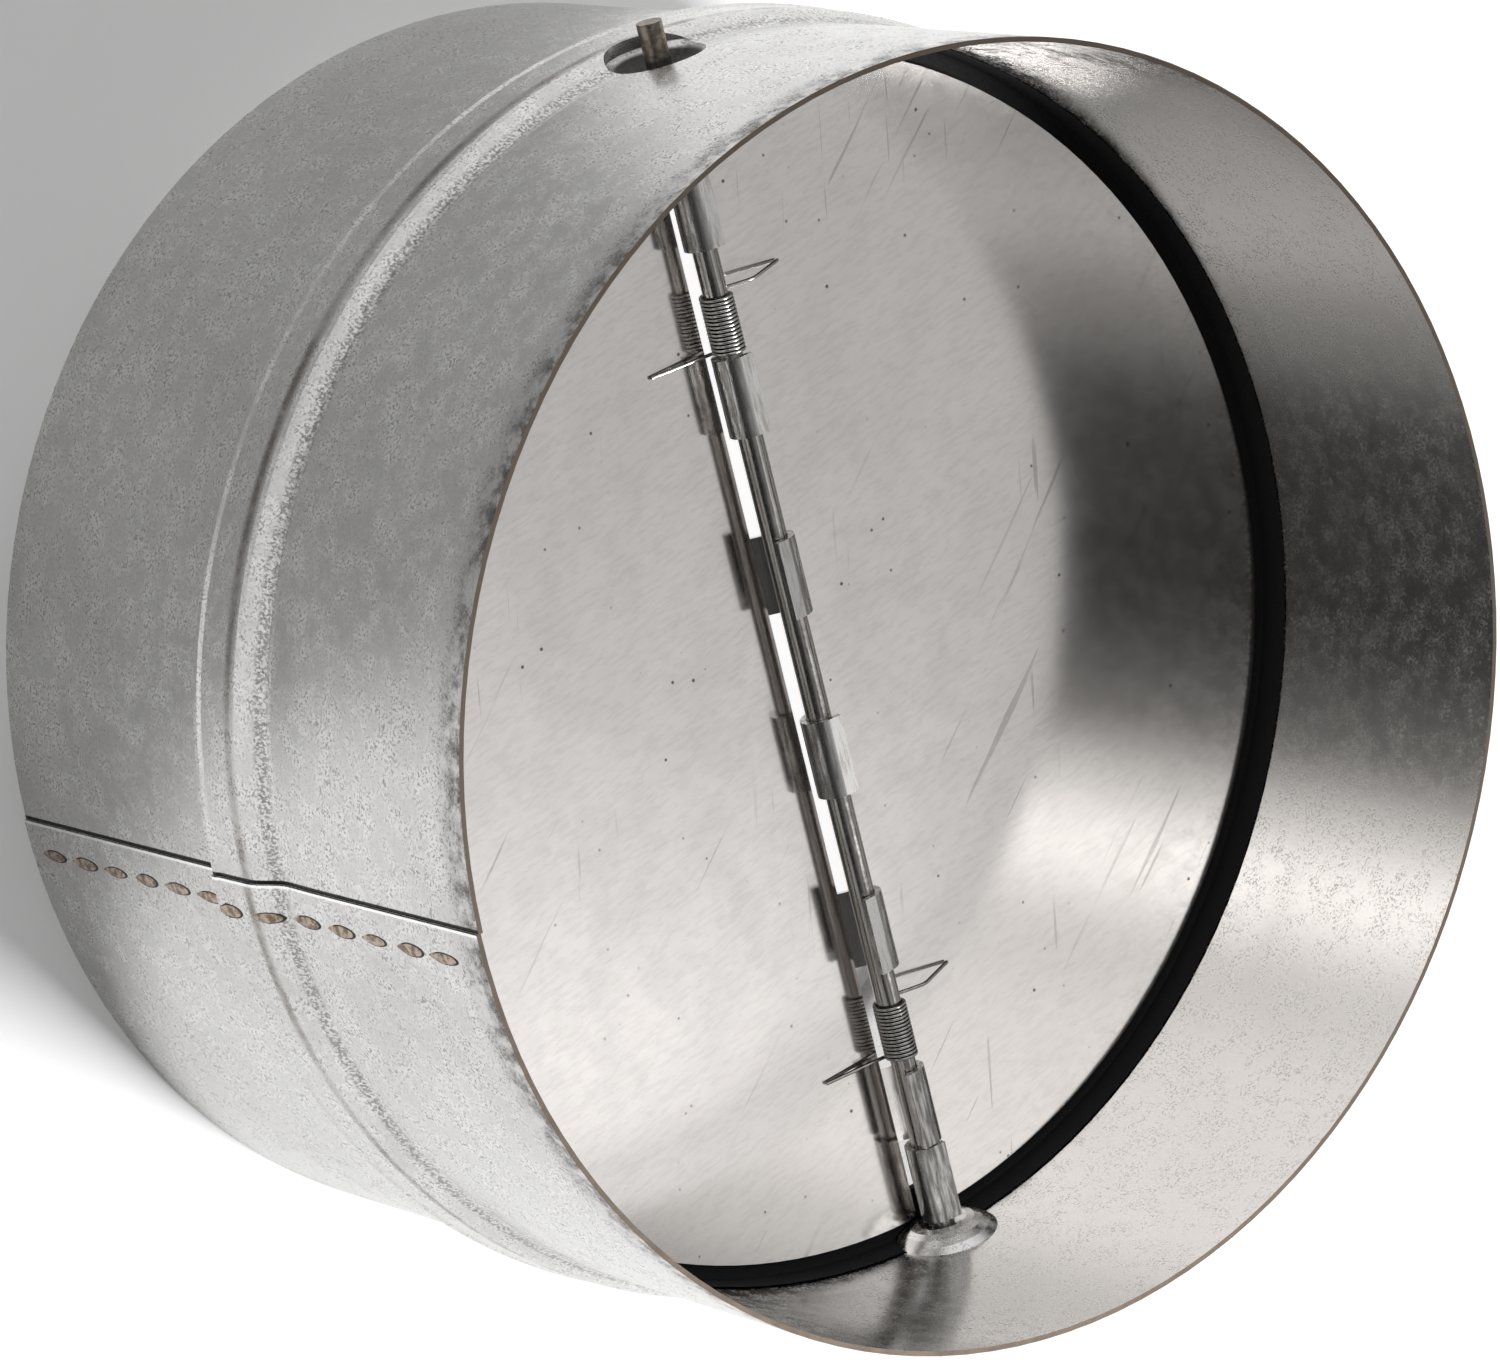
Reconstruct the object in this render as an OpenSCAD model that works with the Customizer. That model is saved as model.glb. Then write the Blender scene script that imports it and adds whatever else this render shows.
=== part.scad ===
// Spring-loaded backdraft damper for a round duct.
// The duct axis is Z. Air enters at z = 0, folds the two blades upwards about a rod
// along X, and leaves at the top edge. The springs fold the blades back on to the gasket.

/* [Sleeve] */
// Outside diameter of the sleeve, which slides into a 200 mm duct
sleeve_d = 199; // [160:1:300]
// Length from the inlet edge to the outlet edge
sleeve_len = 125; // [100:1:200]
// Thickness of the sleeve's galvanised sheet
sheet_t = 0.8; // [0.5:0.05:1.2]

/* [Bead] */
// Height of the bead above the sleeve's outside
bead_h = 2.3; // [1:0.1:3]
// Width of the bead along the duct
bead_w = 19; // [16:0.5:26]
// Width of the steep step on the inlet side of the bead
bead_step = 1.6; // [1.2:0.1:2.4]
// Width of the long slope on the outlet side of the bead
bead_slope = 8; // [6:0.5:10]
// Width of the flat ridge at the top of the step
bead_ridge = 0.9; // [0.5:0.1:1.5]
// Depth to which the sheet is drawn in beside the long slope
draw_in = 0.12; // [0.05:0.01:0.3]
// Width along the duct of the sheet that is drawn in
draw_w = 8; // [4:0.5:12]

/* [Lap seam] */
// Direction of the outer sheet's free edge, in degrees from the rod towards the left blade
seam_at = 88; // [60:1:120]
// Height of the step at that edge
lap_step = 0.4; // [0.2:0.05:0.5]

/* [Hinge rod] */
// Diameter of the rod
rod_d = 4; // [3:0.1:5]
// Height of the rod's axis above the inlet edge
rod_z = 75; // [60:1:90]
// Length of rod that stands out of the sleeve at each end
rod_proud = 5.4; // [2:0.1:10]
// Radial clearance of the rod in its holes and in the curled tabs
rod_fit = 0.1; // [0.05:0.01:0.1]

/* [Dimples] */
// Radius of a dimple at the outside of the sleeve
dimple_r = 8; // [6.5:0.1:10]
// Depth of a dimple
dimple_depth = 2.6; // [1.5:0.1:3.5]

/* [Blades] */
// Thickness of the blades' sheet
blade_t = 1; // [0.6:0.05:1.2]
// Gap between the blades' rim and the inside of the sleeve
blade_gap = 3.2; // [3:0.1:6]
// Distance from the rod's axis to the face of a closed blade
hinge_drop = 4; // [3.6:0.1:5]
// Width of the slot between the two blades, behind the rod
slot_w = 3.8; // [3:0.1:5]
// Distance that the blades have slid along the rod towards -X
blade_slide = 0.4; // [0:0.05:0.5]

/* [Tabs] */
// Width of a curled tab along the rod
tab_w = 12.8; // [8:0.1:14]
// Gap between neighbouring tabs of the two blades
tab_gap = 0.3; // [0.2:0.05:0.6]
// Length of rod left free for a spring beside the tabs
spring_room = 17.6; // [15:0.1:24]
// Length of the flat at the free end of a tab
tab_flat = 2.2; // [1:0.1:2.6]

/* [Springs] */
// Diameter of the spring wire
wire_d = 0.6; // [0.4:0.05:0.7]
// Whole turns in a spring
turns = 15; // [10:1:18]
// Clearance between the coil and the rod
coil_fit = 0.12; // [0.08:0.01:0.3]
// Reach of the cranked leg on the right-hand blade
crank_reach = 15.2; // [12:0.1:18]
// Distance of the crank in that leg from the rod
crank_at = 7.6; // [6:0.1:9]
// Reach of the straight leg on the left-hand blade
leg_reach = 12.7; // [10:0.1:18]

/* [Gasket] */
// Distance from the face of a closed blade to the outlet edge of the bead
gasket_lead = 4.5; // [3:0.1:6]
// Width of the gasket's lip, measured in from the blades' rim
lip_w = 4; // [2:0.1:8]
// Thickness of the lip
lip_t = 2.4; // [1.5:0.1:4]
// Gap between the lip and the back of a closed blade
seat_gap = 0.15; // [0.1:0.05:0.3]
// Clearance between the gasket and the sheet round it
gasket_fit = 0.1; // [0.05:0.05:0.3]

/* [Hidden] */
$fn = 128;

r_out = sleeve_d / 2;
r_in = r_out - sheet_t;
rod_r = rod_d / 2;
hole_r = rod_r + rod_fit;
blade_r = r_in - blade_gap;
blade_face = rod_z - hinge_drop;
blade_back = blade_face - blade_t;
bead_top = blade_face + gasket_lead;
bead_foot = bead_top - bead_w;

// Rising S-curve from 0 to 1.
function ease(u) = (1 - cos(180 * u)) / 2;

// Bead outline as [rise, height] pairs, from the inlet side to the outlet side.
// The step of the inner face lies a little higher, which keeps the sheet's thickness.
step_shift = sheet_t * 0.6;
crown_h = bead_h * 0.9;
slope_h = bead_h * 0.84 + draw_in;
function bead_path(shift) = concat(
    [for (i = [0:4]) [bead_h * ease(i / 4), bead_foot + shift + bead_step * i / 4]],
    [[bead_h, bead_foot + bead_step + bead_ridge], [crown_h, bead_foot + bead_step + 2 * bead_ridge]],
    [for (i = [0:8])
        [slope_h * (1 - ease(i / 8)) - draw_in, bead_top - bead_slope * (1 - i / 8)]],
    [[0, bead_top + draw_w]]
);
outer_bead = bead_path(0);
inner_bead = bead_path(step_shift);

function reversed(path) = [for (i = [len(path) - 1:-1:0]) path[i]];
function at_radius(path, r) = [for (p = path) [r + p[0], p[1]]];

// Cross-section of the sheet, with its radii larger by grow.
module sheet_section(grow = 0) {
    polygon(concat(
        [[r_in + grow, 0], [r_out + grow, 0]],
        at_radius(outer_bead, r_out + grow),
        [[r_out + grow, sleeve_len], [r_in + grow, sleeve_len]],
        reversed(at_radius(inner_bead, r_in + grow))
    ));
}

// The rolled sheet. Half of it is round about the duct's axis. The other half has its
// centre moved towards the seam, so it runs smoothly out to the lap's free edge.
lap_shift = lap_step / 2;
module rolled_sheet() {
    rotate([0, 0, seam_at + 180])
        rotate_extrude(angle = 180)
            sheet_section();
    rotate([0, 0, seam_at])
        translate([lap_shift, 0, 0])
            rotate_extrude(angle = 180)
                sheet_section(lap_shift);
}

// Everything inside the sleeve's outer face.
module filled_sleeve() {
    rotate_extrude()
        polygon(concat([[0, 0], [r_out, 0]], at_radius(outer_bead, r_out), [[r_out, sleeve_len], [0, sleeve_len]]));
}

// Bowl of a dimple about the X axis: floor at depth, mouth radius r at distance a.
// The mouths lie a little proud of the sheet's faces, so that the two always cross.
mouth_lift = 0.07;
dimple_flat = 1.3;
dimple_floor_r = rod_r + dimple_flat;
dimple_clear = 6;
module dimple_bowl(a, r, floor_r) {
    bowl = [for (i = [0:4]) [floor_r + (r - floor_r) * i / 4, a - dimple_depth * (1 - pow(i / 4, 1.6))]];
    rotate([0, 90, 0])
        rotate_extrude()
            polygon(concat([[0, a - dimple_depth]], bowl, [[r, a + dimple_clear], [0, a + dimple_clear]]));
}

module at_both_ends() {
    children();
    rotate([0, 0, 180]) children();
}

module sleeve() {
    color([0.72, 0.74, 0.75])
        difference() {
            union() {
                intersection() {
                    filled_sleeve();
                    at_both_ends()
                        translate([0, 0, rod_z])
                            dimple_bowl(r_in + mouth_lift, dimple_r + sheet_t, dimple_floor_r + sheet_t);
                }
                rolled_sheet();
            }
            at_both_ends()
                translate([0, 0, rod_z])
                    dimple_bowl(r_out + mouth_lift, dimple_r, dimple_floor_r);
            translate([-r_out - dimple_clear, 0, rod_z])
                rotate([0, 90, 0])
                    cylinder(r = hole_r, h = 2 * (r_out + dimple_clear));
        }
}

// Rubber ring that fills the groove behind the bead, with a lip under the blades.
// It is notched round the dimples.
gasket_trim = 0.3;
gasket_fillet = 0.4;
module gasket() {
    lip_top = blade_back - seat_gap;
    lip_r = blade_r - lip_w;
    edge_r = r_in - gasket_fit;
    top_r = edge_r - draw_in;
    groove = [for (p = at_radius(inner_bead, edge_r)) if (p[1] < lip_top || p[0] > edge_r) p];
    inside = [for (p = groove) if (p[1] < bead_top - gasket_trim) p];
    color([0.03, 0.03, 0.03])
        difference() {
            rotate_extrude()
                polygon(concat(
                    inside,
                    [[top_r, bead_top - gasket_trim], [top_r - gasket_fillet, lip_top + gasket_fillet],
                     [top_r - 2 * gasket_fillet, lip_top], [lip_r, lip_top],
                     [lip_r, lip_top - lip_t * 0.6], [lip_r + lip_t / 2, lip_top - lip_t]]
                ));
            at_both_ends()
                translate([0, 0, rod_z])
                    dimple_bowl(edge_r, dimple_r + sheet_t + gasket_fit, dimple_floor_r + sheet_t + gasket_fit);
        }
}

module hinge_rod() {
    rod_len = 2 * (r_out + rod_proud);
    color([0.42, 0.42, 0.42])
        translate([-rod_len / 2, 0, rod_z])
            rotate([0, 90, 0])
                cylinder(r = rod_r, h = rod_len);
}

// Tab outline in the plane across the rod, with the rod's axis at the origin.
// The strip climbs from the blade's edge, curls under and round the rod, and ends flat.
curl_in = hole_r;
curl_mid = curl_in + blade_t / 2;
curl_out = curl_in + blade_t;
root_y = slot_w / 2;
root_z = -hinge_drop - blade_t / 2;
root_dist = norm([root_y, root_z]);
curl_from = atan2(root_z, root_y) - acos(curl_mid / root_dist);
curl_to = 95;

function polar(r, a) = [r * cos(a), r * sin(a)];

module tab_outline() {
    far = 3 * curl_out;
    open_side = [for (i = [0:6]) polar(far, curl_from + (curl_to - curl_from) * i / 6)];
    difference() {
        circle(r = curl_out);
        circle(r = curl_in);
        polygon(concat([[0, 0]], open_side));
    }
    translate(polar(curl_mid, curl_to))
        rotate(curl_to - 90)
            translate([0, -blade_t / 2])
                square([tab_flat, blade_t]);
    // Ramp from the blade's edge to the underside of the curl.
    polygon([
        [root_y, -hinge_drop - blade_t], [root_y, -hinge_drop],
        polar(curl_in, curl_from), polar(curl_out, curl_from)
    ]);
}

// Tab centres of one blade. The end tab reaches the rim, its neighbour belongs to the
// other blade, then comes the room for a spring, and the rest share the middle evenly.
end_trim = 0.2;
blade_end = blade_r - end_trim;
end_tab = blade_end - end_trim - tab_w / 2;
next_tab = end_tab - tab_w - tab_gap;
mid_tab = next_tab - tab_w - spring_room;
tab_centres = [end_tab, mid_tab / 3, -mid_tab, -next_tab];

// Half-disc blade on the +Y side of the rod, cut off square at the ends of the slot.
module blade() {
    translate([0, 0, blade_back])
        linear_extrude(blade_t)
            intersection() {
                circle(r = blade_r, $fn = 180);
                translate([-blade_end, slot_w / 2])
                    square([2 * blade_end, blade_r]);
            }
    for (x = tab_centres)
        translate([x - tab_w / 2, 0, rod_z])
            rotate([90, 0, 90])
                linear_extrude(tab_w)
                    tab_outline();
}

module left_blade() {
    color([0.78, 0.77, 0.76])
        translate([-blade_slide, 0, 0])
            blade();
}

module right_blade() {
    color([0.78, 0.77, 0.76])
        translate([-blade_slide, 0, 0])
            rotate([0, 0, 180])
                blade();
}

// Torsion spring. Its wire comes in from the cranked leg, winds round the rod towards
// -X, and leaves along the straight leg. Points are [x, y, z] from the rod's axis.
wire_r = wire_d / 2;
coil_r = rod_r + coil_fit + wire_r;
pitch = wire_d + 0.02;
steps = 16;
leg_rest = -hinge_drop + wire_r + 0.05;
coil_start = -180 + acos(coil_r / crank_at);
leg_dist = norm([leg_reach, leg_rest]);
coil_end = atan2(leg_rest, leg_reach) - acos(coil_r / leg_dist);
coil_turn = 360 * turns + coil_end - coil_start;
coil_len = pitch * coil_turn / 360;

function spring_path() = concat(
    [[0, -crank_reach, leg_rest], [0, -crank_at, 0]],
    [for (i = [0:steps * turns])
        let (u = i / (steps * turns), a = coil_start + coil_turn * u)
        [-coil_len * u, coil_r * cos(a), coil_r * sin(a)]],
    [[-coil_len, leg_reach, leg_rest]]
);

function unit(v) = v / norm(v);
function heading(path, i) =
    unit(path[min(i + 1, len(path) - 1)] - path[max(i - 1, 0)]);

// Round wire along a path, as rings of sides points joined by quads.
module wire(path, r, sides) {
    rings = [for (i = [0:len(path) - 1])
        let (t = heading(path, i), across = unit(cross(t, [1, 0, 0])), up = cross(across, t))
        for (k = [0:sides - 1])
            path[i] + r * (cos(360 * k / sides) * across + sin(360 * k / sides) * up)];
    last = (len(path) - 1) * sides;
    walls = [for (i = [0:len(path) - 2], k = [0:sides - 1])
        let (a = i * sides + k, b = i * sides + (k + 1) % sides)
        [a, b, b + sides, a + sides]];
    caps = [[for (k = [sides - 1:-1:0]) k], [for (k = [0:sides - 1]) last + k]];
    polyhedron(points = rings, faces = concat(caps, walls));
}

module spring(x) {
    color([0.3, 0.3, 0.3])
        translate([x, 0, rod_z])
            wire(spring_path(), wire_r, 6);
}

// Each spring has slid down the rod towards the tab below it.
upper_play = 0.2;
lower_play = 1.9;
module upper_spring() {
    spring(-blade_slide + mid_tab + tab_w / 2 + upper_play + wire_r + coil_len);
}

module lower_spring() {
    spring(-blade_slide - next_tab + tab_w / 2 + lower_play + wire_r + coil_len);
}

sleeve();
gasket();
hinge_rod();
left_blade();
right_blade();
upper_spring();
lower_spring();
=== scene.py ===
"""Looks for the backdraft damper: camera, studio, materials, spring wire and weld marks.

All lengths are in metres, in the part's frame: +Z along the duct, +X along the hinge rod,
+Y towards the left blade.
"""

import math

import bpy
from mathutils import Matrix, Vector
from mathutils.bvhtree import BVHTree


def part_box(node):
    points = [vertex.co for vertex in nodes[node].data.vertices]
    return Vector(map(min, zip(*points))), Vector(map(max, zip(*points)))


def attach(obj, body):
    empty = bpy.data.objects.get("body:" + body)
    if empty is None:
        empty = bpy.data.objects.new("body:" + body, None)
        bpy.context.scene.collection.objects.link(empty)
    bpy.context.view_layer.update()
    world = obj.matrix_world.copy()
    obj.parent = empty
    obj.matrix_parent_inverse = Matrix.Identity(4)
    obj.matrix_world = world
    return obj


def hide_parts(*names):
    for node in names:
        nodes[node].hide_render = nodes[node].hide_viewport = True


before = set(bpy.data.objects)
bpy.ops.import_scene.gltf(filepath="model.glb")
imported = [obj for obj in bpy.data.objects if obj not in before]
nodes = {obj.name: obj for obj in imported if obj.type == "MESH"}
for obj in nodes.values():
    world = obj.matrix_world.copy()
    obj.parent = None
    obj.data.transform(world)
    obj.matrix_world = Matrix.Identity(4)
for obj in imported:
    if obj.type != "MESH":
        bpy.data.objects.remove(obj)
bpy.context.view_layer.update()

MM = 0.001

# Sizes that part.scad gives the pieces made here.
SLEEVE_R = 99.5 * MM
HALF_LEN = 62.5 * MM
ROD_Z = 75 * MM
SEAM_AT = math.radians(88)
WIRE_R = 0.3 * MM
COIL_R = 2.42 * MM
COIL_PITCH = 0.62 * MM
COIL_TURNS = 15
CRANK_AT = 7.6 * MM
CRANK_REACH = 15.2 * MM
LEG_REACH = 12.7 * MM
LEG_REST = -3.65 * MM


# ---------------------------------------------------------------- camera

CAMERA_PLACE = (0.3365, 0.5821, 0.9381)
CAMERA_TURN = (-8.362, -36.690, -106.572)
CAMERA_LENS = 168.58


def make_camera():
    data = bpy.data.cameras.new("camera")
    data.sensor_fit = "HORIZONTAL"
    data.sensor_width = 36
    data.lens = CAMERA_LENS
    data.clip_start = 0.05
    data.clip_end = 20
    camera = bpy.data.objects.new("camera", data)
    camera.location = CAMERA_PLACE
    camera.rotation_euler = [math.radians(a) for a in CAMERA_TURN]
    bpy.context.scene.collection.objects.link(camera)
    bpy.context.scene.camera = camera


# ---------------------------------------------------------------- node helpers


class Nodes:
    """A node tree with short calls for the nodes used here."""

    def __init__(self, tree):
        self.tree = tree

    def node(self, kind, **settings):
        n = self.tree.nodes.new(kind)
        for key, value in settings.items():
            setattr(n, key, value)
        return n

    def link(self, a, b):
        self.tree.links.new(a, b)

    def put(self, socket, value):
        if isinstance(value, bpy.types.NodeSocket):
            self.link(value, socket)
        elif isinstance(value, tuple) and len(value) == 3 and socket.type == "RGBA":
            socket.default_value = (*value, 1)
        else:
            socket.default_value = value

    def math(self, how, a, b=0.0):
        n = self.node("ShaderNodeMath", operation=how)
        self.put(n.inputs[0], a)
        self.put(n.inputs[1], b)
        return n.outputs[0]

    def times(self, a, b):
        return self.math("MULTIPLY", a, b)

    def largest(self, first, *others):
        for other in others:
            first = self.math("MAXIMUM", first, other)
        return first

    def distance(self, a, b):
        """Length of the vector with these two sides."""
        return self.math("SQRT", self.math("ADD", self.times(a, a), self.times(b, b)))

    def ramp(self, value, low, high, to_low=0.0, to_high=1.0):
        n = self.node("ShaderNodeMapRange", interpolation_type="SMOOTHSTEP")
        self.put(n.inputs["Value"], value)
        for key, number in (
            ("From Min", low),
            ("From Max", high),
            ("To Min", to_low),
            ("To Max", to_high),
        ):
            n.inputs[key].default_value = number
        return n.outputs["Result"]

    def band(self, value, a, b, c, d):
        """1 between b and c, fading to 0 at a and d."""
        return self.times(self.ramp(value, a, b), self.ramp(value, c, d, 1.0, 0.0))

    def stops(self, value, table, interpolation="LINEAR"):
        """Grey tones along value, from a table of places and tones."""
        n = self.node("ShaderNodeValToRGB")
        n.color_ramp.interpolation = interpolation
        self.link(value, n.inputs[0])
        elements = n.color_ramp.elements
        while len(elements) < len(table):
            elements.new(0.5)
        for element, (place, tone) in zip(elements, table):
            element.position = place
            element.color = (tone, tone, tone, 1)
        return n.outputs[0]

    def blend(self, factor, a, b):
        n = self.node("ShaderNodeMix", data_type="FLOAT")
        self.put(n.inputs[0], factor)
        self.put(n.inputs[2], a)
        self.put(n.inputs[3], b)
        return n.outputs[0]

    def mix(self, factor, a, b):
        """Blend of two colours."""
        n = self.node("ShaderNodeMix", data_type="RGBA")
        self.put(n.inputs[0], factor)
        self.put(n.inputs[6], a)
        self.put(n.inputs[7], b)
        return n.outputs[2]

    def split(self, vector):
        n = self.node("ShaderNodeSeparateXYZ")
        self.link(vector, n.inputs[0])
        return n.outputs


class Shader(Nodes):
    """A new material with its node tree."""

    def __init__(self, name):
        self.material = bpy.data.materials.new(name)
        self.material.use_nodes = True
        super().__init__(self.material.node_tree)
        self.bsdf = self.tree.nodes["Principled BSDF"]
        self.output = self.tree.nodes["Material Output"]

    def base(self, **values):
        for key, value in values.items():
            self.put(self.bsdf.inputs[key.replace("_", " ")], value)

    def position(self):
        return self.node("ShaderNodeTexCoord").outputs["Object"]

    def stretched(self, vector, scale):
        n = self.node("ShaderNodeMapping")
        self.link(vector, n.inputs["Vector"])
        n.inputs["Scale"].default_value = scale
        return n.outputs["Vector"]

    def noise(self, vector, scale, detail=4.0, rough=0.55):
        n = self.node("ShaderNodeTexNoise")
        self.link(vector, n.inputs["Vector"])
        n.inputs["Scale"].default_value = scale
        n.inputs["Detail"].default_value = detail
        n.inputs["Roughness"].default_value = rough
        return n.outputs["Fac"]

    def drawn_out(self, vector, angle, stretch, scale, detail=2.0, rough=0.5):
        """Noise drawn out in one direction: degrees from +X towards -Y."""
        turned = self.node("ShaderNodeMapping")
        self.link(vector, turned.inputs["Vector"])
        turned.inputs["Rotation"].default_value = (0, 0, math.radians(angle))
        along = self.stretched(turned.outputs["Vector"], (stretch, 1, 1))
        return self.noise(along, scale, detail, rough)

    def scratches(self, vector, angle, scale):
        return self.ramp(self.drawn_out(vector, angle, 0.05, scale), 0.68, 0.72)

    def cells(self, vector, scale):
        """Distance to the nearest of many scattered points."""
        n = self.node("ShaderNodeTexVoronoi")
        self.link(vector, n.inputs["Vector"])
        n.inputs["Scale"].default_value = scale
        return n.outputs["Distance"]

    def bump(self, height, strength, distance):
        n = self.node("ShaderNodeBump")
        n.inputs["Strength"].default_value = strength
        n.inputs["Distance"].default_value = distance
        self.link(height, n.inputs["Height"])
        self.link(n.outputs["Normal"], self.bsdf.inputs["Normal"])


# ---------------------------------------------------------------- materials

# Bands on the sleeve by height: where a mark begins, is full, stops being full and ends.
CROWN_SHADE_LINE = (65.4 * MM, 66.8 * MM, 67.2 * MM, 68.8 * MM)
ROLLER_TICKS = (71.6 * MM, 72.6 * MM, 73.8 * MM, 75.6 * MM)
OUTLET_GRIME = (117 * MM, 125 * MM)
# Distance from mid length at which the sheet's cut rims begin.
CUT_RIM = (62.4 * MM, 62.45 * MM)
# Bands beside the lap's free edge, in radians round from it: the painted shadow in the gap under
# it and the painted highlight on the edge.
LAP_SHADOW = (-0.0075, -0.0055, -0.0008, 0.0002)
EDGE_HIGHLIGHT = (0.0, 0.0006, 0.0035, 0.006)
# Painted shade and dirt in a dimple: distance from the rod's axis, and from the duct's.
DIMPLE_ROUND = (7.2 * MM, 8.2 * MM)
DIMPLE_DEEP = (98.6 * MM, 99.2 * MM)
# Height at which a blade's tabs rise from its face, and where the rod's cut ends begin.
TAB_FOOT = (71.4 * MM, 72.2 * MM)
ROD_END = (98.5 * MM, 100 * MM)


def galvanised_sheet():
    """Zinc-coated sheet: speckled outside, cleaner inside, brown at the cut rims, with painted
    shade and a painted highlight at the seam, painted shade on the bead and in the dimples.
    """
    s = Shader("galvanised_sheet")
    at = s.position()
    x, y, z = s.split(at)
    normal = s.node("ShaderNodeNewGeometry").outputs["Normal"]
    across = s.node("ShaderNodeVectorMath", operation="DOT_PRODUCT")
    s.link(at, across.inputs[0])
    s.link(normal, across.inputs[1])
    outside = s.ramp(across.outputs["Value"], -0.01, 0.01)

    cloud = s.noise(at, 30, 4, 0.6)
    mottle = s.noise(at, 260, 5, 0.7)
    grain = s.noise(at, 2300, 3, 0.65)
    specks = s.times(s.ramp(grain, 0.5, 0.6), s.ramp(mottle, 0.4, 0.6, 0.2, 1.0))
    zinc = s.mix(s.ramp(mottle, 0.38, 0.62), (0.56, 0.555, 0.545), (0.7, 0.695, 0.685))
    zinc = s.mix(s.ramp(cloud, 0.4, 0.66, 0.0, 0.3), zinc, (0.4, 0.39, 0.38))
    zinc = s.mix(s.times(specks, 0.6), zinc, (0.12, 0.115, 0.11))

    # Marks of the beading rollers: a painted dark line of shade where the crown turns into the
    # slope, mottled like a rub, and ticks on the long slope.
    rub_and_shade = s.times(s.band(z, *CROWN_SHADE_LINE), s.ramp(mottle, 0.3, 0.6, 0.35, 0.85))
    rub_and_shade = s.times(rub_and_shade, s.ramp(cloud, 0.35, 0.6, 0.4, 1.0))
    zinc = s.mix(rub_and_shade, zinc, (0.13, 0.11, 0.09))
    ticks = s.ramp(s.noise(s.stretched(at, (1, 1, 0.5)), 2400, 2, 0.5), 0.45, 0.55)
    ticks = s.times(ticks, s.band(z, *ROLLER_TICKS))
    zinc = s.mix(s.times(ticks, 0.6), zinc, (0.1, 0.095, 0.09))

    # Grime beside the outlet's cut edge.
    grime = s.times(s.ramp(z, *OUTLET_GRIME), s.ramp(mottle, 0.36, 0.6))
    zinc = s.mix(s.times(grime, 0.85), zinc, (0.06, 0.05, 0.045))
    clean = s.mix(s.ramp(mottle, 0.3, 0.7), (0.74, 0.735, 0.725), (0.8, 0.795, 0.785))
    clean = s.mix(s.times(specks, 0.15), clean, (0.3, 0.28, 0.26))
    colour = s.mix(outside, clean, zinc)

    # Painted shadow in the gap under the lap's free edge, and a painted highlight on the bare
    # edge beside it.
    turn = s.math("SUBTRACT", s.math("ARCTAN2", y, x), SEAM_AT)
    lap_shadow = s.times(s.band(turn, *LAP_SHADOW), outside)
    edge_highlight = s.times(s.band(turn, *EDGE_HIGHLIGHT), s.times(outside, 0.8))
    colour = s.mix(lap_shadow, colour, (0.01, 0.01, 0.01))
    colour = s.mix(edge_highlight, colour, (0.95, 0.95, 0.95))

    # Painted shade, with dirt, in the dimples around the rod's ends, darkening them almost to
    # black.
    off_rod = s.distance(y, s.math("SUBTRACT", z, ROD_Z))
    dimple_shade_and_dirt = s.times(
        s.ramp(off_rod, *DIMPLE_ROUND, 1.0, 0.0),
        s.ramp(s.distance(x, y), *DIMPLE_DEEP, 1.0, 0.0),
    )
    dimple_shade_and_dirt = s.times(dimple_shade_and_dirt, outside)
    colour = s.mix(s.times(dimple_shade_and_dirt, 0.93), colour, (0.012, 0.011, 0.01))

    flat = s.ramp(s.math("ABSOLUTE", s.split(normal)[2]), 0.8, 0.95)
    rim = s.ramp(s.math("ABSOLUTE", s.math("SUBTRACT", z, HALF_LEN)), *CUT_RIM)
    rim = s.times(rim, flat)
    colour = s.mix(rim, colour, (0.05, 0.04, 0.032))

    rough = s.blend(
        outside, s.ramp(mottle, 0.3, 0.7, 0.15, 0.23), s.ramp(mottle, 0.3, 0.7, 0.2, 0.3)
    )
    rough = s.math("ADD", rough, s.times(s.largest(rim, specks, dimple_shade_and_dirt), 0.2))
    s.base(Base_Color=colour, Metallic=1.0, Roughness=rough)
    s.bump(s.math("ADD", mottle, s.times(grain, 0.7)), 0.3, 0.05 * MM)
    return s.material


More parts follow.
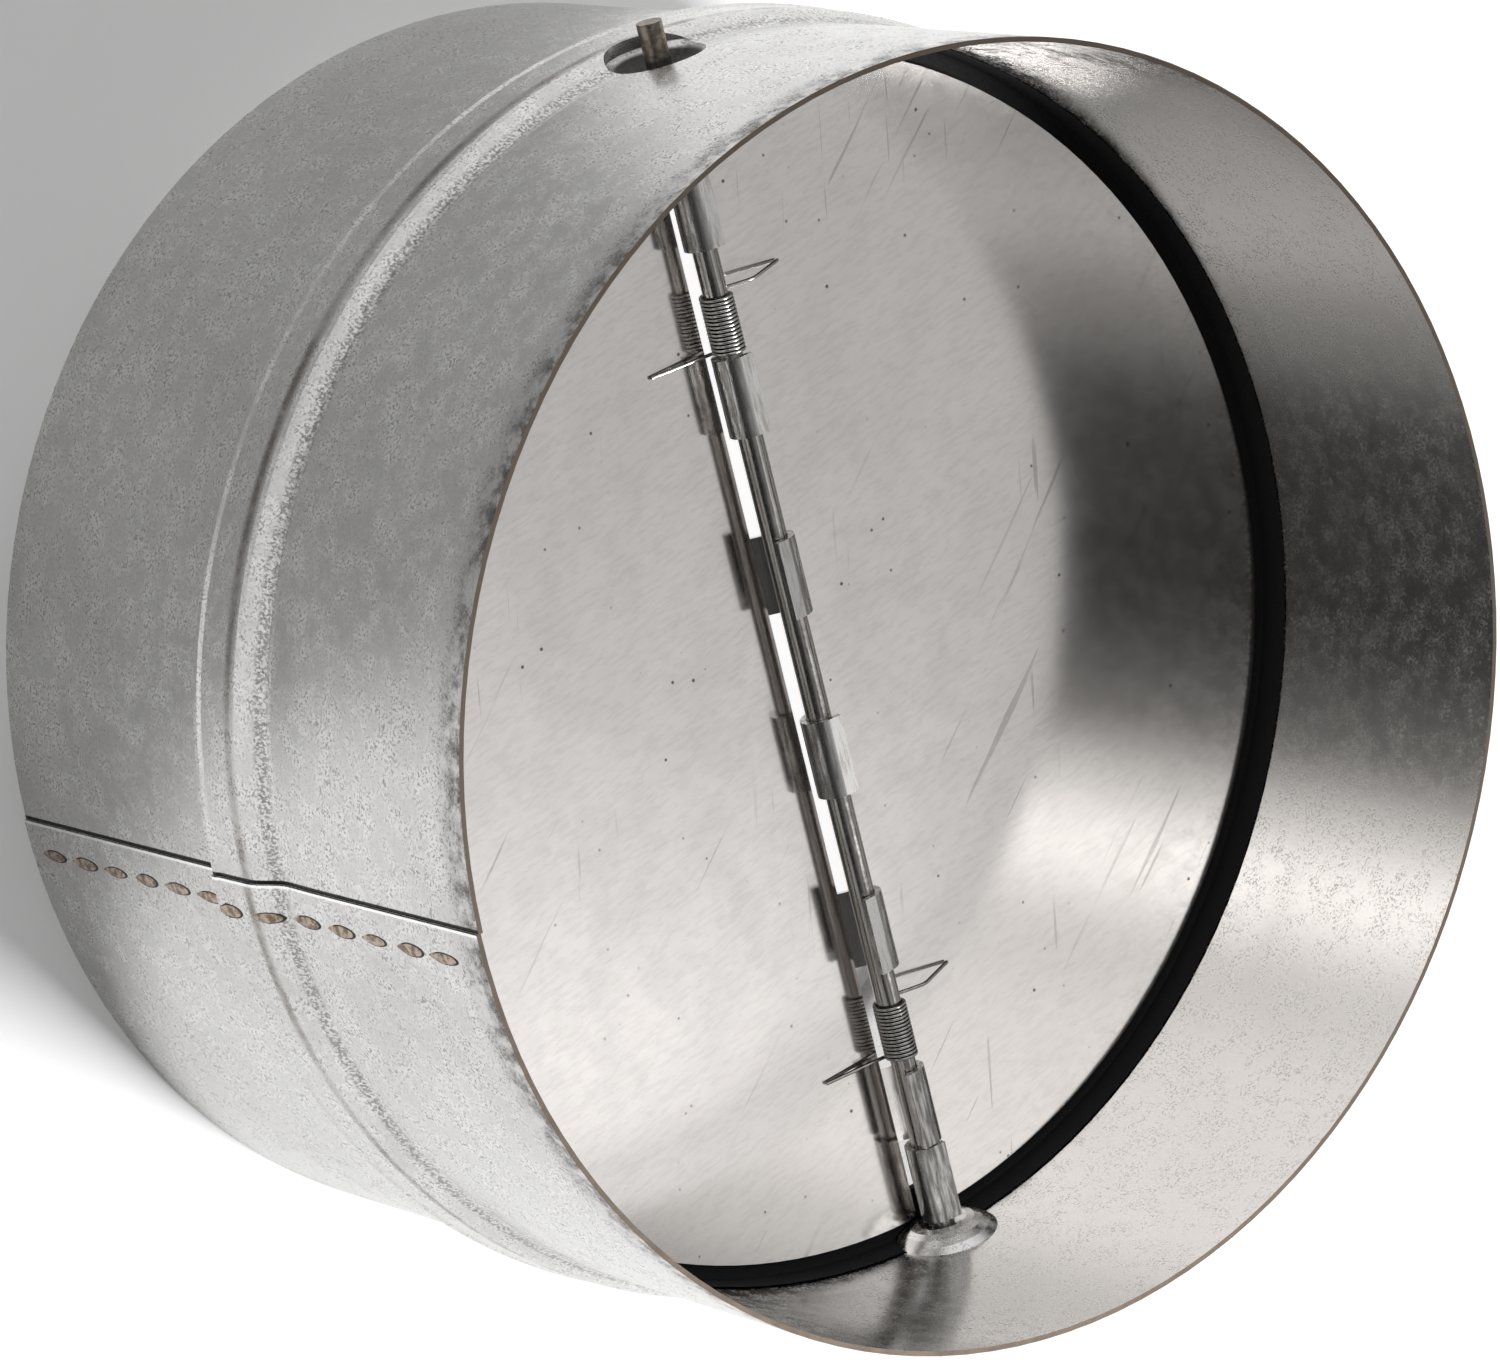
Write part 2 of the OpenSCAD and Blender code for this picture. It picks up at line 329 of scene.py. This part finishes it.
def blade_sheet():
    """Smooth bright zinc coat with a diagonal grain, pits and hairlines; the tabs are duller, and
    painted darker as the shade round the rod.
    """
    s = Shader("blade_sheet")
    at = s.position()
    height = s.split(at)[2]
    haze = s.noise(at, 38, 4, 0.6)
    stain = s.noise(at, 85, 5, 0.7)
    fine = s.drawn_out(at, 81, 0.25, 1500, 3, 0.6)
    pits = s.ramp(s.cells(at, 230), 0.04, 0.09, 1.0, 0.0)
    pits = s.times(pits, s.ramp(s.noise(at, 70, 3), 0.46, 0.56))
    scratch = s.largest(s.scratches(at, 12, 620), s.scratches(at, 48, 540))
    scratch = s.times(scratch, s.ramp(s.noise(at, 24, 2), 0.45, 0.6))
    marks = s.largest(pits, s.times(scratch, 0.35))
    zinc = s.mix(s.ramp(haze, 0.3, 0.7), (0.775, 0.742, 0.717), (0.8, 0.768, 0.743))
    zinc = s.mix(s.ramp(stain, 0.56, 0.72, 0.0, 0.07), zinc, (0.5, 0.42, 0.37))
    zinc = s.mix(s.times(s.ramp(fine, 0.42, 0.66), 0.16), zinc, (0.45, 0.42, 0.4))
    zinc = s.mix(s.times(marks, 0.9), zinc, (0.08, 0.07, 0.06))
    rough = s.ramp(stain, 0.35, 0.65, 0.12, 0.14)

    # The tabs are painted darker, as the shade where they curl round the rod, with a mottle like
    # a rub; they are also rougher.
    tab = s.ramp(height, *TAB_FOOT)
    rub_and_shade = s.ramp(s.noise(s.stretched(at, (0.15, 1, 1)), 1500, 4, 0.6), 0.35, 0.65)
    zinc = s.mix(tab, zinc, s.mix(rub_and_shade, (0.2, 0.19, 0.18), (0.5, 0.49, 0.48)))
    rough = s.blend(tab, rough, s.blend(rub_and_shade, 0.3, 0.2))
    s.base(Base_Color=zinc, Metallic=1.0, Roughness=rough)
    s.bump(fine, 0.05, 0.01 * MM)
    return s.material


def gasket_rubber():
    """Matt black rubber."""
    s = Shader("gasket_rubber")
    fine = s.noise(s.position(), 1800, 3, 0.6)
    s.base(
        Base_Color=s.mix(fine, (0.004, 0.004, 0.004), (0.011, 0.011, 0.012)),
        Metallic=0.0,
        Roughness=s.ramp(fine, 0.3, 0.7, 0.7, 0.9),
    )
    s.bsdf.inputs["Specular IOR Level"].default_value = 0.25
    s.bump(fine, 0.3, 0.05 * MM)
    return s.material


def rod_steel():
    """Drawn rod: streaks along X with a fine grain, rusty at the cut ends."""
    s = Shader("rod_steel")
    at = s.position()
    streak = s.noise(s.stretched(at, (0.05, 1, 1)), 2400, 4, 0.6)
    grain = s.noise(at, 1500, 3, 0.6)
    steel = s.mix(s.ramp(streak, 0.3, 0.7), (0.26, 0.245, 0.23), (0.44, 0.42, 0.4))
    end = s.ramp(s.math("ABSOLUTE", s.split(at)[0]), *ROD_END)
    patches = s.ramp(s.noise(at, 700, 4, 0.65), 0.4, 0.6)
    rust = s.mix(patches, (0.3, 0.26, 0.22), (0.16, 0.13, 0.11))
    s.base(
        Base_Color=s.mix(end, steel, rust),
        Metallic=1.0,
        Roughness=s.blend(end, s.ramp(grain, 0.3, 0.7, 0.14, 0.24), 0.42),
    )
    s.bump(streak, 0.1, 0.01 * MM)
    return s.material


def spring_wire():
    """Drawn spring wire, with painted shade between the windings and on the sides of the legs."""
    s = Shader("spring_steel")
    normal = s.node("ShaderNodeTexCoord").outputs["Normal"]
    # Painted shade where the wire faces along the rod: between the windings and on the legs'
    # sides.
    side_shade = s.ramp(s.math("ABSOLUTE", s.split(normal)[0]), 0.45, 0.85)
    streak = s.noise(s.position(), 900, 2, 0.5)
    steel = s.mix(s.ramp(streak, 0.35, 0.65), (0.33, 0.32, 0.31), (0.46, 0.45, 0.43))
    s.base(Base_Color=s.mix(side_shade, steel, (0.03, 0.028, 0.026)), Metallic=1.0, Roughness=0.26)
    return s.material


def scorched_zinc():
    """Burnt zinc of the weld marks."""
    s = Shader("weld_mark")
    burn = s.noise(s.position(), 800, 4, 0.6)
    colour = s.mix(s.ramp(burn, 0.4, 0.6), (0.2, 0.14, 0.1), (0.5, 0.42, 0.34))
    s.base(Base_Color=colour, Metallic=0.75, Roughness=0.45)
    s.bump(burn, 0.5, 0.08 * MM)
    return s.material


def soot():
    """Black rim of the weld marks."""
    s = Shader("weld_soot")
    s.base(Base_Color=(0.035, 0.028, 0.024), Metallic=0.4, Roughness=0.6)
    return s.material


def dress(node, material):
    mesh = nodes[node].data
    mesh.materials.clear()
    mesh.materials.append(material)


# ---------------------------------------------------------------- spring wire

CRANK_BEND_R = 1.2 * MM
STEPS_PER_TURN = 40


def wire(name, points, material):
    """Round wire with closed ends along points, as a mesh."""
    curve = bpy.data.curves.new(name, "CURVE")
    curve.dimensions = "3D"
    curve.bevel_depth = WIRE_R
    curve.bevel_resolution = 3
    curve.use_fill_caps = True
    spline = curve.splines.new("POLY")
    spline.points.add(len(points) - 1)
    for point, p in zip(spline.points, points):
        point.co = (*p, 1)
    spline.use_smooth = True
    held = bpy.data.objects.new(name + "_curve", curve)
    bpy.context.scene.collection.objects.link(held)
    bpy.context.view_layer.update()
    evaluated = held.evaluated_get(bpy.context.evaluated_depsgraph_get())
    mesh = bpy.data.meshes.new_from_object(evaluated)
    bpy.data.objects.remove(held)
    mesh.name = name
    mesh.materials.clear()
    mesh.materials.append(material)
    for face in mesh.polygons:
        face.use_smooth = True
    piece = bpy.data.objects.new(name, mesh)
    bpy.context.scene.collection.objects.link(piece)
    return piece


def around(x, angle):
    """Point of the coil's centre line."""
    return Vector((x, COIL_R * math.cos(angle), ROD_Z + COIL_R * math.sin(angle)))


def bent(corner, before, after, radius, steps=5):
    """Points that round a corner between two straight stretches."""
    to_before = (before - corner).normalized()
    to_after = (after - corner).normalized()
    a, b = corner + to_before * radius, corner + to_after * radius
    return [
        a.lerp(corner, t).lerp(corner.lerp(b, t), t)
        for t in (i / steps for i in range(steps + 1))
    ]


def spring(name, top_x, material):
    """A torsion spring in three pieces: the coil stays on the rod, each leg goes with a blade."""
    start = -math.pi + math.acos(COIL_R / CRANK_AT)
    leg_far = math.hypot(LEG_REACH, LEG_REST)
    end = math.atan2(LEG_REST, LEG_REACH) - math.acos(COIL_R / leg_far)
    turn = 2 * math.pi * COIL_TURNS + end - start
    length = COIL_PITCH * turn / (2 * math.pi)
    low_x = top_x - length
    steps = STEPS_PER_TURN * COIL_TURNS
    coil = [
        around(top_x - length * i / steps, start + turn * i / steps) for i in range(steps + 1)
    ]
    crank_end = Vector((top_x, -CRANK_REACH, ROD_Z + LEG_REST))
    crank = Vector((top_x, -CRANK_AT, ROD_Z))
    crank_points = [crank_end, *bent(crank, crank_end, coil[0], CRANK_BEND_R), coil[0]]
    leg_points = [coil[-1], Vector((low_x, LEG_REACH, ROD_Z + LEG_REST))]
    for suffix, points, body in (
        ("coil", coil, "duct"),
        ("crank", crank_points, "right_blade"),
        ("leg", leg_points, "left_blade"),
    ):
        piece = wire(f"{name}_{suffix}", points, material)
        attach(piece, body)
        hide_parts(name)


# ---------------------------------------------------------------- weld marks

WELD_ANGLE = math.radians(91)
WELD_FIRST = 6.8 * MM
WELD_PITCH = 9.0 * MM
WELD_COUNT = 13
WELD_PROUD = 0.16 * MM
WELD_STEP = 0.01 * MM
WELD_SUNK = 0.05 * MM
# Each mark is a fan of this many sides and rings.
WELD_SIDES = 20
WELD_RINGS = 4
# The rays that find the sheet's face start this far from the duct's axis.
RAY_START = 0.12


def weld_marks(material, soot):
    """Flattened drops of burnt zinc in a row along the seam, laid on the sleeve's face."""
    sleeve = nodes["sleeve"]
    tree = BVHTree.FromPolygons(
        [v.co for v in sleeve.data.vertices], [p.vertices for p in sleeve.data.polygons]
    )
    vertices, faces, edge_faces = [], [], set()

    def on_sheet(angle, z, lift):
        away = Vector((math.cos(angle), math.sin(angle), 0))
        hit, _, _, _ = tree.ray_cast(away * RAY_START + Vector((0, 0, z)), -away)
        return hit + away * lift

    for i in range(WELD_COUNT):
        # No two marks are quite alike.
        long_half = (4.0 + 0.3 * math.sin(i * 1.7)) * MM
        wide_half = (1.15 + 0.12 * math.sin(i * 2.4)) * MM
        middle = WELD_FIRST + WELD_PITCH * i + 0.5 * MM * math.sin(i * 3.1)
        start = len(vertices)
        vertices.append(on_sheet(WELD_ANGLE, middle, WELD_PROUD))
        for ring in range(1, WELD_RINGS + 1):
            share = ring / WELD_RINGS
            # The last ring lies under the sheet's face, so that the mark has no open edge.
            lift = WELD_PROUD * (1 - share**2) + WELD_STEP if ring < WELD_RINGS else -WELD_SUNK
            for k in range(WELD_SIDES):
                a = 2 * math.pi * k / WELD_SIDES
                along = math.cos(a)
                # The end towards the inlet is drawn out to a point.
                width = wide_half * (1 if along > 0 else 1 - 0.6 * along**2)
                z = middle + long_half * along * share
                turn = width * math.sin(a) * share / SLEEVE_R
                vertices.append(on_sheet(WELD_ANGLE + turn, z, lift))
        for k in range(WELD_SIDES):
            faces.append((start, start + 1 + k, start + 1 + (k + 1) % WELD_SIDES))
        for ring in range(WELD_RINGS - 1):
            for k in range(WELD_SIDES):
                a = start + 1 + ring * WELD_SIDES + k
                b = start + 1 + ring * WELD_SIDES + (k + 1) % WELD_SIDES
                # The outermost ring is burnt black, but not along the drawn-out tail.
                facing = math.cos(2 * math.pi * (k + 0.5) / WELD_SIDES)
                if ring == WELD_RINGS - 2 and facing > -0.5:
                    edge_faces.add(len(faces))
                faces.append((a, a + WELD_SIDES, b + WELD_SIDES, b))
    mesh = bpy.data.meshes.new("weld_marks")
    mesh.from_pydata(vertices, [], faces)
    mesh.materials.append(material)
    mesh.materials.append(soot)
    for face in mesh.polygons:
        face.use_smooth = True
        face.material_index = int(face.index in edge_faces)
    piece = bpy.data.objects.new("weld_marks", mesh)
    bpy.context.scene.collection.objects.link(piece)
    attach(piece, "duct")


# ---------------------------------------------------------------- studio

KEY_PLACE = (-1.95, -1.4, 2.2)
KEY_AIM = (0, 0, 0.05)
KEY_SIZE = (0.7, 0.7)
KEY_POWER = 140

FLOOR_HALF = 3.0
FLOOR_COLOUR = 0.84
FLOOR_GLOW = 0.06
# A light panel under the damper, which shines up beside the rod: its edge and brightness.
PANEL_EDGE = (92 * MM, 97 * MM)
PANEL_GLOW = 0.8
# Well away from the damper the floor runs out into the white backdrop.
FAR_FLOOR = (0.6, 2.2)
FAR_GLOW = 0.5

# Brightness of the studio by compass direction: degrees from +X towards +Y, then strength.
# It is brightest behind the rod's upper end and dark on the camera's side.
STUDIO = (
    (0, 1.3),
    (20, 1.05),
    (38, 2.0),
    (50, 1.0),
    (62, 0.17),
    (85, 0.03),
    (120, 0.05),
    (142, 0.3),
    (160, 0.6),
    (190, 0.46),
    (208, 0.22),
    (219, 0.5),
    (228, 1.0),
    (233, 0.95),
    (241, 0.5),
    (262, 0.48),
    (300, 0.9),
    (322, 1.35),
    (360, 1.3),
)
# Share of that strength by the sine of the height above the horizon: the soft boxes stand
# at mid height, and the studio is dimmer below them and overhead.
STUDIO_HEIGHT = ((0, 0.14), (0.5, 0.14), (0.66, 1), (0.9, 1), (1, 0.3))
# Metal mirrors the white backdrop up to here, where the soft boxes begin.
BACKDROP_TOP = (0.3, 0.45)


def area_light(name, place, aim, size, power):
    data = bpy.data.lights.new(name, "AREA")
    data.shape = "RECTANGLE"
    data.size, data.size_y = size
    data.energy = power
    lamp = bpy.data.objects.new(name, data)
    lamp.location = place
    lamp.rotation_euler = (Vector(aim) - Vector(place)).to_track_quat("-Z", "Y").to_euler()
    bpy.context.scene.collection.objects.link(lamp)


def make_floor():
    """Pale floor with the damper's own soft shadow, a glowing light panel under the damper, and a
    glow far out where it runs into the white backdrop.
    """
    mesh = bpy.data.meshes.new("floor")
    half = FLOOR_HALF
    mesh.from_pydata(
        [(-half, -half, 0), (half, -half, 0), (half, half, 0), (-half, half, 0)],
        [],
        [(0, 1, 2, 3)],
    )
    s = Shader("floor")
    path = s.node("ShaderNodeLightPath").outputs
    seen = s.largest(path["Is Camera Ray"], path["Is Glossy Ray"], path["Is Transmission Ray"])
    diffuse = s.node("ShaderNodeBsdfDiffuse")
    s.put(diffuse.inputs["Color"], (FLOOR_COLOUR, FLOOR_COLOUR, FLOOR_COLOUR))
    middle = s.node("ShaderNodeVectorMath", operation="LENGTH")
    s.link(s.position(), middle.inputs[0])
    panel = s.ramp(middle.outputs["Value"], *PANEL_EDGE, PANEL_GLOW, FLOOR_GLOW)
    far = s.ramp(middle.outputs["Value"], *FAR_FLOOR, 0.0, FAR_GLOW)
    glow = s.node("ShaderNodeEmission")
    s.link(s.times(seen, s.math("ADD", panel, far)), glow.inputs["Strength"])
    lit = s.node("ShaderNodeAddShader")
    s.link(diffuse.outputs[0], lit.inputs[0])
    s.link(glow.outputs[0], lit.inputs[1])
    s.link(lit.outputs[0], s.output.inputs["Surface"])
    mesh.materials.append(s.material)
    floor = bpy.data.objects.new("floor", mesh)
    bpy.context.scene.collection.objects.link(floor)


def make_world():
    """Plain white backdrop to look at, and a studio with light and dark sides to mirror."""
    world = bpy.data.worlds.new("studio")
    world.use_nodes = True
    bpy.context.scene.world = world
    world.node_tree.nodes.clear()
    s = Nodes(world.node_tree)
    x, y, z = s.split(s.node("ShaderNodeTexCoord").outputs["Generated"])
    turns = s.times(s.math("ARCTAN2", y, x), 1 / (2 * math.pi))
    compass = [(angle / 360, tone) for angle, tone in STUDIO]
    tones = s.stops(s.math("FLOORED_MODULO", turns, 1.0), compass, "EASE")
    height = s.stops(z, STUDIO_HEIGHT)
    path = s.node("ShaderNodeLightPath").outputs
    mirrored = s.times(s.ramp(z, *BACKDROP_TOP, 1.0, 0.0), path["Is Glossy Ray"])
    seen = s.largest(path["Is Camera Ray"], path["Is Transmission Ray"], mirrored)
    background = s.node("ShaderNodeBackground")
    s.link(s.mix(seen, tones, (1, 1, 1)), background.inputs["Color"])
    s.link(s.blend(seen, height, 1.0), background.inputs["Strength"])
    s.link(background.outputs[0], s.node("ShaderNodeOutputWorld").inputs[0])


def make_studio():
    bpy.context.scene.view_settings.view_transform = "Standard"
    make_world()
    make_floor()
    area_light("key", KEY_PLACE, KEY_AIM, KEY_SIZE, KEY_POWER)


# ---------------------------------------------------------------- the scene

make_camera()
make_studio()

spring_steel = spring_wire()
dress("sleeve", galvanised_sheet())
dress("gasket", gasket_rubber())
dress("hinge_rod", rod_steel())
blade_zinc = blade_sheet()
dress("left_blade", blade_zinc)
dress("right_blade", blade_zinc)

upper_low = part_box("upper_spring")
lower_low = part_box("lower_spring")
spring("upper_spring", upper_low[1].x - WIRE_R, spring_steel)
spring("lower_spring", lower_low[1].x - WIRE_R, spring_steel)
weld_marks(scorched_zinc(), soot())
